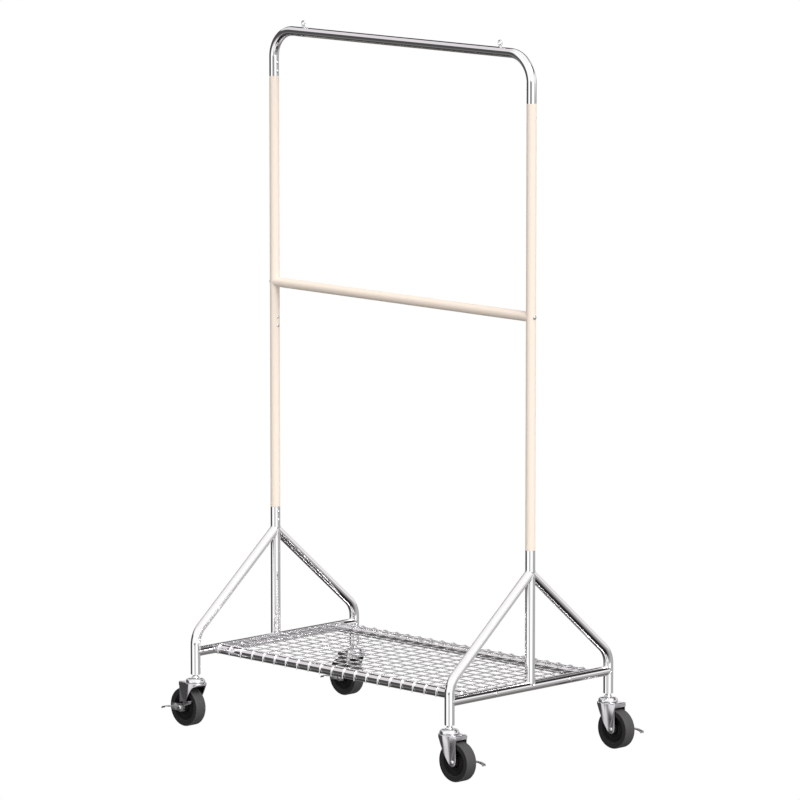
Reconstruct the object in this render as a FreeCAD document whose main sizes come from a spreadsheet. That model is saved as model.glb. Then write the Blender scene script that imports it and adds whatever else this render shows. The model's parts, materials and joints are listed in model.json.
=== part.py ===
"""Rolling clothes rack: chrome hang rail, painted posts, mesh shelf and four braked casters.

Millimetres, +Z up.  The origin is on the floor under the middle of the rack.
+X runs along the hang rail to the right, +Y runs to the rear.
"""
import FreeCAD, Part
import Sketcher
import os

DIMENSIONS = {
    # frame
    "post_spacing": 915.0,
    "leg_spacing": 571.0,
    "tube_radius": 12.5,
    "tube_bore": 11.2,
    "rail_bend_radius": 70.0,
    "knee_radius": 60.0,
    "rail_height": 1777.5,
    "crossbar_height": 1126.0,
    "top_joint": 1657.0,
    "middle_joint": 1049.0,
    "bottom_joint": 540.0,
    "apex_height": 482.5,
    "knee_height": 241.0,
    "foot_height": 137.5,
    "side_rail_height": 196.0,
    "spigot_length": 110.0,
    "spigot_radius": 11.15,
    "spigot_bore": 9.6,
    # screws
    "screw_head_radius": 4.2,
    "screw_head_height": 2.6,
    "screw_shank_radius": 2.5,
    "screw_length": 12.0,
    "screw_first": 13.0,
    "screw_second": 35.0,
    "bolt_head_radius": 5.5,
    "bolt_head_height": 3.6,
    "bolt_shank_radius": 3.0,
    "bolt_length": 52.0,
    "plug_length": 30.0,
    "plug_gap": 0.5,
    # eye bolts
    "eye_offset": 349.0,
    "eye_radius": 5.9,
    "eye_wire": 1.9,
    "eye_rise": 22.5,
    "eye_collar_radius": 5.0,
    "eye_collar_height": 2.4,
    # shelf
    "shelf_tube_offset": 213.0,
    "strip_thickness": 3.0,
    "strip_height": 20.0,
    "wire_radius": 1.5,
    "long_wire_pitch": 34.15,
    "cross_wire_pitch": 41.44,
    "hook_drop": 11.5,
    "shelf_bolt_offset": 132.0,
    "shelf_bolt_length": 36.0,
    "nut_width": 10.0,
    "nut_height": 5.0,
    # caster
    "caster_trail": 28.5,
    "wheel_radius": 50.0,
    "wheel_half_width": 16.0,
    "core_radius": 34.0,
    "core_half_width": 12.0,
    "hub_half_width": 16.5,
    "hub_radius": 13.0,
    "sleeve_radius": 6.0,
    "running_gap": 0.08,
    "axle_radius": 4.0,
    "fork_half_width": 20.0,
    "fork_wall": 2.5,
    "fork_top": 117.0,
    "crown_radius": 28.0,
    "fork_rear": 42.0,
    "fork_leg_rear": 40.5,
    "fork_lip": 11.0,
    "fork_skirt": 6.5,
    "fork_top_radius": 3.0,
    "fork_end_radius": 11.0,
    "stem_radius": 6.0,
    "stem_top": 165.0,
    "cup_radius": 25.0,
    "cup_top": 129.0,
    "cup_rim": 117.5,
    "rivet_radius": 11.0,
    "rivet_height": 3.6,
    "ball_radius": 3.9,
    "ball_circle": 15.5,
    "lever_inner_face": 27.0,
    "lever_thickness": 2.0,
    "lever_boss_radius": 8.0,
    "lever_clearance": 0.3,
    "lever_hub_radius": 11.0,
    "wing_reach": 40.0,
    "wing_rise": 22.0,
    "wing_width": 9.0,
    "pad_reach": 33.0,
    "pad_half_height": 10.0,
    "pedal_reach": 60.0,
    "pedal_drop": 8.0,
    "pedal_width": 12.0,
    "axle_head_radius": 5.0,
    "axle_head_height": 3.0,
    "axle_nut_height": 3.5,
    "nut_radius": 6.0,
}

BALLS_PER_CASTER = 12
LONG_WIRES = 13
CROSS_WIRES = 22
CORNERS = {
    # name: (side along X, side along Y)
    "front_left": (-1, -1),
    "front_right": (1, -1),
    "rear_left": (-1, 1),
    "rear_right": (1, 1),
}
SIDES = {"left": -1, "right": 1}

UPRIGHT = FreeCAD.Rotation()
ALONG_X = FreeCAD.Rotation(FreeCAD.Vector(0, 1, 0), 90)
AGAINST_X = FreeCAD.Rotation(FreeCAD.Vector(0, 1, 0), -90)
ALONG_Y = FreeCAD.Rotation(FreeCAD.Vector(1, 0, 0), -90)
HALF_TURN = FreeCAD.Rotation(FreeCAD.Vector(0, 0, 1), 180)

doc = FreeCAD.newDocument("ClothesRack")
dims = doc.addObject("Spreadsheet::Sheet", "Dims")
for row, (alias, value) in enumerate(DIMENSIONS.items(), start=1):
    dims.set("A%d" % row, alias)
    dims.set("B%d" % row, str(value))
    dims.setAlias("B%d" % row, alias)
reckoner = doc.addObject("App::FeaturePython", "Reckoner")
reckoner.addProperty("App::PropertyFloat", "Result")
doc.recompute()
nodes = {}


# ---------------------------------------------------------------- helpers

def number(expression):
    """The present value of an expression on the sheet."""
    reckoner.setExpression("Result", str(expression))
    reckoner.recompute()
    return reckoner.Result


def bind(item, **sizes):
    """Bind properties of an object to expressions on the sheet."""
    for name, expression in sizes.items():
        item.setExpression(name, str(expression))


def place(item, x="0", y="0", z="0", turn=UPRIGHT):
    """Turn an object and put its base where three expressions say."""
    item.Placement = FreeCAD.Placement(FreeCAD.Vector(), turn)
    for axis, expression in zip("xyz", (x, y, z)):
        item.setExpression("Placement.Base." + axis, str(expression))


def node(item, label):
    """Give a finished sub-part the label that names its file."""
    item.Label = label
    nodes[label] = item
    return item


def signed(side, expression):
    return "%d * (%s)" % (side, expression)


def cylinder(name, radius, height, x="0", y="0", z="0", turn=UPRIGHT):
    item = doc.addObject("Part::Cylinder", name)
    bind(item, Radius=radius, Height=height)
    place(item, x, y, z, turn)
    return item


def box(name, length, width, height, x="0", y="0", z="0", turn=UPRIGHT):
    item = doc.addObject("Part::Box", name)
    bind(item, Length=length, Width=width, Height=height)
    place(item, x, y, z, turn)
    return item


def bend(name, radius, tube, angle, x, y, z, turn):
    """A quarter or less of a ring: its arc starts on the local X axis."""
    item = doc.addObject("Part::Torus", name)
    bind(item, Radius1=radius, Radius2=tube, Angle3=angle)
    place(item, x, y, z, turn)
    return item


def join(name, items):
    item = doc.addObject("Part::MultiFuse", name)
    item.Shapes = items
    return item


def group(name, items):
    """Separate solids that share one node."""
    item = doc.addObject("Part::Compound", name)
    item.Links = items
    return item


def cut(name, base, tools):
    """Base less its tools."""
    item = doc.addObject("Part::Cut", name)
    item.Base = base
    item.Tool = tools[0] if len(tools) == 1 else group(name + "_tools", tools)
    return item


def plane_of(body, role):
    return next(f for f in body.Origin.OriginFeatures if f.Role == role)


def new_body(name):
    return doc.addObject("PartDesign::Body", name)


def new_sketch(body, name, role):
    sketch = body.newObject("Sketcher::SketchObject", name)
    sketch.AttachmentSupport = (plane_of(body, role), [""])
    sketch.MapMode = "FlatFace"
    return sketch


def bind_constraint(sketch, kind, *arguments):
    """Add a dimension whose value is the last argument's expression."""
    expression = arguments[-1]
    index = sketch.addConstraint(Sketcher.Constraint(kind, *arguments[:-1], number(expression)))
    sketch.setExpression("Constraints[%d]" % index, str(expression))


def draw_polygon(sketch, corners):
    """A closed outline; each corner is held by expressions for its two coordinates."""
    values = [(number(x), number(y)) for x, y in corners]
    points = [FreeCAD.Vector(x, y, 0) for x, y in values]
    count = len(points)
    for i in range(count):
        sketch.addGeometry(Part.LineSegment(points[i], points[(i + 1) % count]), False)
    for i in range(count):
        sketch.addConstraint(Sketcher.Constraint("Coincident", i, 2, (i + 1) % count, 1))
    for i, (x, y) in enumerate(corners):
        if abs(values[i][0]) < 1e-9:
            sketch.addConstraint(Sketcher.Constraint("PointOnObject", i, 1, -2))
        else:
            bind_constraint(sketch, "DistanceX", -1, 1, i, 1, x)
        if abs(values[i][1]) < 1e-9:
            sketch.addConstraint(Sketcher.Constraint("PointOnObject", i, 1, -1))
        else:
            bind_constraint(sketch, "DistanceY", -1, 1, i, 1, y)


def draw_circle(sketch, radius):
    circle = Part.Circle(FreeCAD.Vector(), FreeCAD.Vector(0, 0, 1), number(radius))
    index = sketch.addGeometry(circle, False)
    sketch.addConstraint(Sketcher.Constraint("Coincident", index, 3, -1, 1))
    bind_constraint(sketch, "Radius", index, radius)


def pad(body, name, sketch, length, both_ways=False):
    feature = body.newObject("PartDesign::Pad", name)
    feature.Profile = sketch
    feature.Midplane = both_ways
    bind(feature, Length=length)
    return feature


def turned(name, corners, x="0", y="0", z="0", turn=UPRIGHT):
    """A body of revolution about its own Z axis; corners are (radius, height)."""
    body = new_body(name)
    sketch = new_sketch(body, name + "_profile", "XZ_Plane")
    draw_polygon(sketch, corners)
    feature = body.newObject("PartDesign::Revolution", name + "_turn")
    feature.Profile = sketch
    feature.ReferenceAxis = (sketch, ["V_Axis"])
    feature.Angle = 360
    place(body, x, y, z, turn)
    return body


def straight_tube(name, outer, bore, length, x="0", y="0", z="0", turn=UPRIGHT):
    """A round tube along its own Z axis."""
    body = new_body(name)
    sketch = new_sketch(body, name + "_section", "XY_Plane")
    draw_circle(sketch, outer)
    draw_circle(sketch, bore)
    pad(body, name + "_length", sketch, length)
    place(body, x, y, z, turn)
    return body


def plate(name, corners, thickness, x="0", y="0", z="0", turn=UPRIGHT):
    """A flat plate drawn in its own XZ plane, centred on that plane."""
    body = new_body(name)
    sketch = new_sketch(body, name + "_outline", "XZ_Plane")
    draw_polygon(sketch, corners)
    pad(body, name + "_thickness", sketch, thickness, both_ways=True)
    place(body, x, y, z, turn)
    return body


def round_screw(name, head_radius, head_height, shank_radius, length, x, y, z, turn):
    """A domed-head screw; its seat is at the base and its shank runs down its own Z axis."""
    crown = "0.62 * " + head_radius
    rim = "0.35 * " + head_height
    corners = [
        ("0", "-(%s)" % length),
        (shank_radius, "-(%s)" % length),
        (shank_radius, "0"),
        (head_radius, "0"),
        (head_radius, rim),
        (crown, head_height),
        ("0", head_height),
    ]
    return turned(name, corners, x, y, z, turn)


# ---------------------------------------------------------------- hang rail and posts

HALF_SPACING = "Dims.post_spacing / 2"
HALF_DEPTH = "Dims.leg_spacing / 2"


def rail_run(name, radius):
    """The upside-down U of the hang rail, as a solid bar of one radius."""
    bend_height = "Dims.rail_height - Dims.rail_bend_radius"
    bend_x = "(Dims.post_spacing / 2 - Dims.rail_bend_radius)"
    pieces = [
        cylinder(name + "_span", radius, "2 * " + bend_x, "-1 * " + bend_x,
                 z="Dims.rail_height", turn=ALONG_X)
    ]
    for side_name, side in SIDES.items():
        outward = FreeCAD.Vector(side, 0, 0)
        up = FreeCAD.Vector(0, 0, 1)
        turn = FreeCAD.Rotation(outward, up, outward.cross(up), "ZXY")
        pieces.append(bend(name + "_bend_" + side_name, "Dims.rail_bend_radius", radius, "90",
                           signed(side, bend_x), "0", bend_height, turn))
        pieces.append(cylinder(name + "_drop_" + side_name, radius,
                               bend_height + " - Dims.top_joint",
                               signed(side, HALF_SPACING), z="Dims.top_joint"))
    return join(name, pieces)


def screw_heights():
    """Heights of the two screws at each joint: above the top joint, below the others."""
    heights = []
    for offset in ("Dims.screw_first", "Dims.screw_second"):
        heights.append("Dims.top_joint + " + offset)
        heights.append("Dims.middle_joint - " + offset)
        heights.append("Dims.bottom_joint - " + offset)
    return heights


def inner_face(side):
    """X of the side of a post that faces the other post."""
    return signed(side, "Dims.post_spacing / 2 - Dims.tube_radius")


def screw_cutters(name):
    """Clearance for every joint screw, as bars through the inner walls."""
    cutters = []
    for side_name, side in SIDES.items():
        for i, height in enumerate(screw_heights()):
            cutters.append(cylinder("%s_%s_%d" % (name, side_name, i), "Dims.screw_shank_radius",
                                    "Dims.screw_length", inner_face(side), z=height,
                                    turn=ALONG_X if side > 0 else AGAINST_X))
    return cutters


def crossbar_bolt_cutters(name):
    """Clearance for the two bolts that hold the crossbar."""
    return [cylinder(name + "_" + side_name, "Dims.bolt_shank_radius", "Dims.bolt_length",
                     signed(side, "Dims.post_spacing / 2 + Dims.tube_radius"),
                     z="Dims.crossbar_height", turn=AGAINST_X if side > 0 else ALONG_X)
            for side_name, side in SIDES.items()]


def eye_cutters(name):
    """Clearance for the eye bolts, down through the top of the rail."""
    return [cylinder(name + "_" + side_name, "Dims.eye_wire", "2 * Dims.tube_radius",
                     signed(side, "Dims.eye_offset"), z="Dims.rail_height")
            for side_name, side in SIDES.items()]


def make_top_rail():
    walls = cut("top_rail_walls", rail_run("top_rail_outside", "Dims.tube_radius"),
                [rail_run("top_rail_inside", "Dims.tube_bore")])
    tools = screw_cutters("top_rail_screws") + eye_cutters("top_rail_eyes")
    node(cut("top_rail_tube", walls, tools), "top_rail")


def make_posts():
    for side_name, side in SIDES.items():
        x = signed(side, HALF_SPACING)
        upper = straight_tube("upper_post_%s_tube" % side_name, "Dims.tube_radius", "Dims.tube_bore",
                              "Dims.top_joint - Dims.middle_joint", x, z="Dims.middle_joint")
        node(cut("upper_post_%s_drilled" % side_name, upper,
                 crossbar_bolt_cutters("upper_post_bolts_" + side_name)), "upper_post_" + side_name)
        lower = straight_tube("lower_post_%s_tube" % side_name, "Dims.tube_radius", "Dims.tube_bore",
                              "Dims.middle_joint - Dims.bottom_joint", x, z="Dims.bottom_joint")
        node(cut("lower_post_%s_drilled" % side_name, lower,
                 screw_cutters("lower_post_screws_" + side_name)), "lower_post_" + side_name)


def make_spigots():
    """Short inner tubes that line up each joint of the posts."""
    for level in ("top", "middle", "bottom"):
        pair = []
        for side_name, side in SIDES.items():
            pair.append(straight_tube("%s_spigot_%s" % (level, side_name), "Dims.spigot_radius",
                                      "Dims.spigot_bore", "Dims.spigot_length",
                                      signed(side, HALF_SPACING),
                                      z="Dims.%s_joint - Dims.spigot_length / 2" % level))
        node(cut(level + "_spigots_drilled", group(level + "_spigot_pair", pair),
                 screw_cutters(level + "_spigot_screws")), level + "_spigots")


def make_joint_screws():
    screws = []
    for side_name, side in SIDES.items():
        for i, height in enumerate(screw_heights()):
            screws.append(round_screw("joint_screw_%s_%d" % (side_name, i),
                                      "Dims.screw_head_radius", "Dims.screw_head_height",
                                      "Dims.screw_shank_radius", "Dims.screw_length",
                                      inner_face(side), "0", height,
                                      AGAINST_X if side > 0 else ALONG_X))
    node(group("joint_screw_set", screws), "joint_screws")


def make_crossbar():
    bar = straight_tube("crossbar_tube", "Dims.tube_radius", "Dims.tube_bore", "Dims.post_spacing",
                        "-Dims.post_spacing / 2", z="Dims.crossbar_height", turn=ALONG_X)
    saddles = [cylinder("crossbar_saddle_" + side_name, "Dims.tube_radius", "4 * Dims.tube_radius",
                        signed(side, HALF_SPACING),
                        z="Dims.crossbar_height - 2 * Dims.tube_radius")
               for side_name, side in SIDES.items()]
    node(cut("crossbar_coped", bar, saddles), "crossbar")

    face = "(Dims.post_spacing / 2 - Dims.tube_radius - Dims.plug_gap)"
    plugs = []
    bolts = []
    for side_name, side in SIDES.items():
        inward = AGAINST_X if side > 0 else ALONG_X
        outward = ALONG_X if side > 0 else AGAINST_X
        plugs.append(cylinder("crossbar_plug_" + side_name, "Dims.tube_bore", "Dims.plug_length",
                              signed(side, face), z="Dims.crossbar_height", turn=inward))
        bolts.append(round_screw("crossbar_bolt_" + side_name, "Dims.bolt_head_radius",
                                 "Dims.bolt_head_height", "Dims.bolt_shank_radius",
                                 "Dims.bolt_length",
                                 signed(side, "Dims.post_spacing / 2 + Dims.tube_radius"), "0",
                                 "Dims.crossbar_height", outward))
    node(cut("crossbar_plugs_tapped", group("crossbar_plug_pair", plugs),
             crossbar_bolt_cutters("crossbar_plug_bolts")), "crossbar_plugs")
    node(group("crossbar_bolt_pair", bolts), "crossbar_bolts")


def make_eye_bolts():
    for side_name, side in SIDES.items():
        x = signed(side, "Dims.eye_offset")
        crown = "Dims.rail_height + Dims.tube_radius"
        ring = doc.addObject("Part::Torus", "eye_ring_" + side_name)
        bind(ring, Radius1="Dims.eye_radius", Radius2="Dims.eye_wire")
        place(ring, x, "0", "Dims.rail_height + Dims.eye_rise", ALONG_Y)
        collar = cylinder("eye_collar_" + side_name, "Dims.eye_collar_radius",
                          "Dims.eye_collar_height", x, z=crown)
        shank = cylinder("eye_shank_" + side_name, "Dims.eye_wire",
                         "Dims.eye_rise - Dims.eye_radius", x, z="Dims.rail_height")
        node(join("eye_bolt_%s_joined" % side_name, [ring, collar, shank]), "eye_bolt_" + side_name)


# ---------------------------------------------------------------- base frames

RISE = "(Dims.apex_height - Dims.knee_height)"
SLOPE_LENGTH = "sqrt(%s * %s + Dims.leg_spacing * Dims.leg_spacing / 4)" % (RISE, RISE)
SLOPE_ANGLE = "atan(2 * %s / Dims.leg_spacing)" % RISE
TANGENT = "(Dims.knee_radius * tan((90 deg - %s) / 2))" % SLOPE_ANGLE


def leg_run(name, radius, side, foot):
    """The front leg: foot, bend and sloping stretch, as a solid bar of one radius."""
    x = signed(side, HALF_SPACING)
    knee = "Dims.knee_height - " + TANGENT
    upright = cylinder(name + "_upright", radius, "%s - %s" % (knee, foot),
                       x, "-" + HALF_DEPTH, foot)
    turn = FreeCAD.Rotation(FreeCAD.Vector(0, -1, 0), FreeCAD.Vector(0, 0, 1),
                            FreeCAD.Vector(-1, 0, 0), "ZXY")
    elbow = bend(name + "_elbow", "Dims.knee_radius", radius, "90 deg - " + SLOPE_ANGLE,
                 x, "-" + HALF_DEPTH + " + Dims.knee_radius", knee, turn)
    slope = doc.addObject("Part::Cylinder", name + "_slope")
    bind(slope, Radius=radius, Height="%s - %s" % (SLOPE_LENGTH, TANGENT))
    slope.Placement = FreeCAD.Placement(
        FreeCAD.Vector(), FreeCAD.Rotation(FreeCAD.Vector(-1, 0, 0), 90 - number(SLOPE_ANGLE)))
    for axis, expression in zip("xyz", (
            x, "-%s + %s * cos(%s)" % (HALF_DEPTH, TANGENT, SLOPE_ANGLE),
            "Dims.knee_height + %s * sin(%s)" % (TANGENT, SLOPE_ANGLE))):
        slope.setExpression("Placement.Base." + axis, expression)
    return join(name, [upright, elbow, slope])


def make_base(side_name, side):
    x = signed(side, HALF_SPACING)
    post = straight_tube("base_post_%s_tube" % side_name, "Dims.tube_radius", "Dims.tube_bore",
                         "Dims.bottom_joint - Dims.side_rail_height", x, z="Dims.side_rail_height")
    saddle = cylinder("base_post_saddle_" + side_name, "Dims.tube_radius", "4 * Dims.tube_radius",
                      x, "-2 * Dims.tube_radius", "Dims.side_rail_height", ALONG_Y)
    node(cut("base_post_%s_coped" % side_name, post,
             [saddle] + screw_cutters("base_post_screws_" + side_name)), "base_post_" + side_name)

    outside = leg_run("leg_%s_outside" % side_name, "Dims.tube_radius", side, "Dims.foot_height")
    inside = leg_run("leg_%s_inside" % side_name, "Dims.tube_bore", side, "Dims.foot_height")
    clearance = cylinder("leg_post_" + side_name, "Dims.tube_radius",
                         "Dims.bottom_joint - Dims.side_rail_height", x,
                         z="Dims.side_rail_height")
    front = node(cut("leg_front_%s_tube" % side_name, outside, [inside, clearance]),
                 "leg_front_" + side_name)
    rear = doc.addObject("Part::Mirroring", "leg_rear_%s_tube" % side_name)
    rear.Source = front
    rear.Normal = FreeCAD.Vector(0, 1, 0)
    node(rear, "leg_rear_" + side_name)

    rail = straight_tube("side_rail_%s_tube" % side_name, "Dims.tube_radius", "Dims.tube_bore",
                         "Dims.leg_spacing", x, "-" + HALF_DEPTH, "Dims.side_rail_height", ALONG_Y)
    tools = [cylinder("side_rail_%s_cope_%d" % (side_name, end), "Dims.tube_radius",
                      "4 * Dims.tube_radius", x, signed(end, HALF_DEPTH),
                      "Dims.side_rail_height - 2 * Dims.tube_radius")
             for end in (-1, 1)]
    tools += shelf_bolt_cutters("side_rail_%s_bolt" % side_name)
    node(cut("side_rail_%s_coped" % side_name, rail, tools), "side_rail_" + side_name)


# ---------------------------------------------------------------- shelf

STRIP_FACE = "Dims.post_spacing / 2 - Dims.tube_radius"


def shelf_bolt_cutters(name):
    """Clearance for the four bolts that hold the shelf to the side rails."""
    cutters = []
    for side_name, side in SIDES.items():
        for end in (-1, 1):
            cutters.append(cylinder("%s_%s_%d" % (name, side_name, end), "Dims.bolt_shank_radius",
                                    "Dims.shelf_bolt_length",
                                    signed(side, "Dims.post_spacing / 2 + Dims.tube_radius"),
                                    signed(end, "Dims.shelf_bolt_offset"), "Dims.side_rail_height",
                                    AGAINST_X if side > 0 else ALONG_X))
    return cutters


def make_shelf_frame():
    run = "2 * (%s - Dims.strip_thickness)" % STRIP_FACE
    for end_name, end in (("front", -1), ("rear", 1)):
        node(straight_tube("shelf_tube_%s_body" % end_name, "Dims.tube_radius", "Dims.tube_bore", run,
                           "-(%s - Dims.strip_thickness)" % STRIP_FACE,
                           signed(end, "Dims.shelf_tube_offset"), "Dims.side_rail_height", ALONG_X),
             "shelf_tube_" + end_name)
    reach = "(Dims.shelf_tube_offset + Dims.tube_radius)"
    for side_name, side in SIDES.items():
        low = STRIP_FACE + " - Dims.strip_thickness" if side > 0 else "-(%s)" % STRIP_FACE
        strip = box("shelf_strip_%s_bar" % side_name, "Dims.strip_thickness", "2 * " + reach,
                    "Dims.strip_height", low, "-1 * " + reach,
                    "Dims.side_rail_height - Dims.strip_height / 2")
        node(cut("shelf_strip_%s_drilled" % side_name, strip,
                 shelf_bolt_cutters("shelf_strip_%s_bolt" % side_name)), "shelf_strip_" + side_name)


def make_mesh():
    """Welded grid of long wires under cross wires, whose ends bend down over both tubes."""
    long_height = "Dims.side_rail_height + Dims.strip_height / 2 + Dims.wire_radius"
    cross_height = "Dims.side_rail_height + Dims.tube_radius + Dims.wire_radius"
    reach = "(%s - Dims.strip_thickness / 2)" % STRIP_FACE
    wires = []
    for i in range(LONG_WIRES):
        y = "%g * Dims.long_wire_pitch" % (i - (LONG_WIRES - 1) / 2)
        wires.append(cylinder("long_wire_%d" % i, "Dims.wire_radius", "2 * " + reach,
                              "-1 * " + reach, y, long_height, ALONG_X))
    hooks = []
    for i in range(CROSS_WIRES):
        x = "%g * Dims.cross_wire_pitch" % (i - (CROSS_WIRES - 1) / 2)
        wires.append(cylinder("cross_wire_%d" % i, "Dims.wire_radius", "2 * Dims.shelf_tube_offset",
                              x, "-Dims.shelf_tube_offset", cross_height, ALONG_Y))
        for end in (-1, 1):
            outward = FreeCAD.Vector(0, end, 0)
            up = FreeCAD.Vector(0, 0, 1)
            turn = FreeCAD.Rotation(up, outward, up.cross(outward), "ZXY")
            hook = "cross_wire_%d_hook_%d" % (i, end)
            over_tube = bend(hook + "_bend", "Dims.tube_radius + Dims.wire_radius",
                             "Dims.wire_radius", "90", x, signed(end, "Dims.shelf_tube_offset"),
                             "Dims.side_rail_height", turn)
            drop_place = signed(end, "Dims.shelf_tube_offset + Dims.tube_radius + Dims.wire_radius")
            down_tube = cylinder(hook + "_drop", "Dims.wire_radius", "Dims.hook_drop", x, drop_place,
                                 "Dims.side_rail_height - Dims.hook_drop")
            hooks.append(join(hook, [over_tube, down_tube]))
    node(group("wire_set", wires), "shelf_mesh")
    node(group("wire_hook_set", hooks), "shelf_wire_hooks")


def make_shelf_fixings():
    bolts = []
    nuts = []
    for side_name, side in SIDES.items():
        for end in (-1, 1):
            y = signed(end, "Dims.shelf_bolt_offset")
            bolts.append(round_screw("shelf_bolt_%s_%d" % (side_name, end), "Dims.bolt_head_radius",
                                     "Dims.bolt_head_height", "Dims.bolt_shank_radius",
                                     "Dims.shelf_bolt_length",
                                     signed(side, "Dims.post_spacing / 2 + Dims.tube_radius"), y,
                                     "Dims.side_rail_height", ALONG_X if side > 0 else AGAINST_X))
            hexagon = doc.addObject("Part::Prism", "shelf_nut_%s_%d" % (side_name, end))
            hexagon.Polygon = 6
            bind(hexagon, Circumradius="Dims.nut_width / sqrt(3)", Height="Dims.nut_height")
            place(hexagon, signed(side, STRIP_FACE + " - Dims.strip_thickness"), y,
                  "Dims.side_rail_height", AGAINST_X if side > 0 else ALONG_X)
            nuts.append(hexagon)
    node(group("shelf_bolt_set", bolts), "shelf_bolts")
    node(cut("shelf_nuts_tapped", group("shelf_nut_set", nuts),
             shelf_bolt_cutters("shelf_nut_bolt")), "shelf_nuts")


# ---------------------------------------------------------------- casters

def make_sockets():
    """Threaded plugs pressed into the feet of the legs."""
    sockets = []
    for corner, (side, end) in CORNERS.items():
        sockets.append(straight_tube("leg_socket_" + corner, "Dims.tube_bore", "Dims.stem_radius",
                                     "Dims.stem_top - Dims.foot_height",
                                     signed(side, HALF_SPACING), signed(end, HALF_DEPTH),
                                     "Dims.foot_height"))
    node(group("leg_socket_set", sockets), "leg_sockets")


def make_stem(corner, x, y):
    """Threaded stem with its collar, the fixed upper bearing cup and the rivet end."""
    rivet_top = "Dims.fork_top - Dims.fork_wall - Dims.lever_clearance"
    corners = [
        ("0", "Dims.stem_top"),
        ("Dims.stem_radius - 1", "Dims.stem_top"),
        ("Dims.stem_radius", "Dims.stem_top - 1"),
        ("Dims.stem_radius", "Dims.cup_top + 5"),
        ("Dims.stem_radius + 4", "Dims.cup_top + 1"),
        ("Dims.stem_radius + 4", "Dims.cup_top"),
        ("Dims.cup_radius - 7", "Dims.cup_top - 0.5"),
        ("Dims.cup_radius - 2.5", "Dims.cup_top - 3"),
        ("Dims.cup_radius - 0.5", "Dims.cup_top - 7"),
        ("Dims.cup_radius", "Dims.cup_rim"),
        ("Dims.cup_radius - 2.5", "Dims.cup_rim"),
        ("Dims.cup_radius - 3", "Dims.cup_top - 7"),
        ("Dims.cup_radius - 5", "Dims.cup_top - 4"),
        ("Dims.stem_radius", "Dims.cup_top - 4"),
        ("Dims.stem_radius", rivet_top),
        ("Dims.rivet_radius", rivet_top),
        ("Dims.rivet_radius - 1.5", rivet_top + " - Dims.rivet_height"),
        ("0", rivet_top + " - Dims.rivet_height"),
    ]
    node(turned("stem_%s_body" % corner, corners, x, y), "stem_" + corner)


def make_swivel_balls():
    """Bearing balls between each fork and the cup above it."""
    balls = []
    for corner, (side, end) in CORNERS.items():
        for i in range(BALLS_PER_CASTER):
            angle = 360 / BALLS_PER_CASTER * i
            ball = doc.addObject("Part::Sphere", "ball_%s_%d" % (corner, i))
            bind(ball, Radius="Dims.ball_radius")
            place(ball,
                  "%s + Dims.ball_circle * cos(%g)" % (signed(side, HALF_SPACING), angle),
                  "%s + Dims.ball_circle * sin(%g)" % (signed(end, HALF_DEPTH), angle),
                  "(Dims.fork_top + Dims.cup_top - 4) / 2")
            balls.append(ball)
    node(group("swivel_ball_set", balls), "swivel_balls")


def crown_and_legs(name, inset, height):
    """The round crown about the king pin, run together with the box of the two legs."""
    radius = "(Dims.crown_radius - %s)" % inset
    half = "(Dims.fork_half_width - %s)" % inset
    crown = cylinder(name + "_crown", radius, height)
    legs = box(name + "_legs", "Dims.fork_rear - " + inset, "2 * " + half, height, "0", "-1 * " + half)
    return join(name, [crown, legs])


def soften_top(name, item, height):
    """Round the outer edges of a flat top."""
    doc.recompute()
    level = number(height)
    edges = []
    for i, edge in enumerate(item.Shape.Edges, start=1):
        span = edge.BoundBox
        if abs(span.ZMin - level) < 0.01 and abs(span.ZMax - level) < 0.01:
            edges.append((i, number("Dims.fork_top_radius"), number("Dims.fork_top_radius")))
    fillet = doc.addObject("Part::Fillet", name)
    fillet.Base = item
    fillet.Edges = edges
    return fillet


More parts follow.
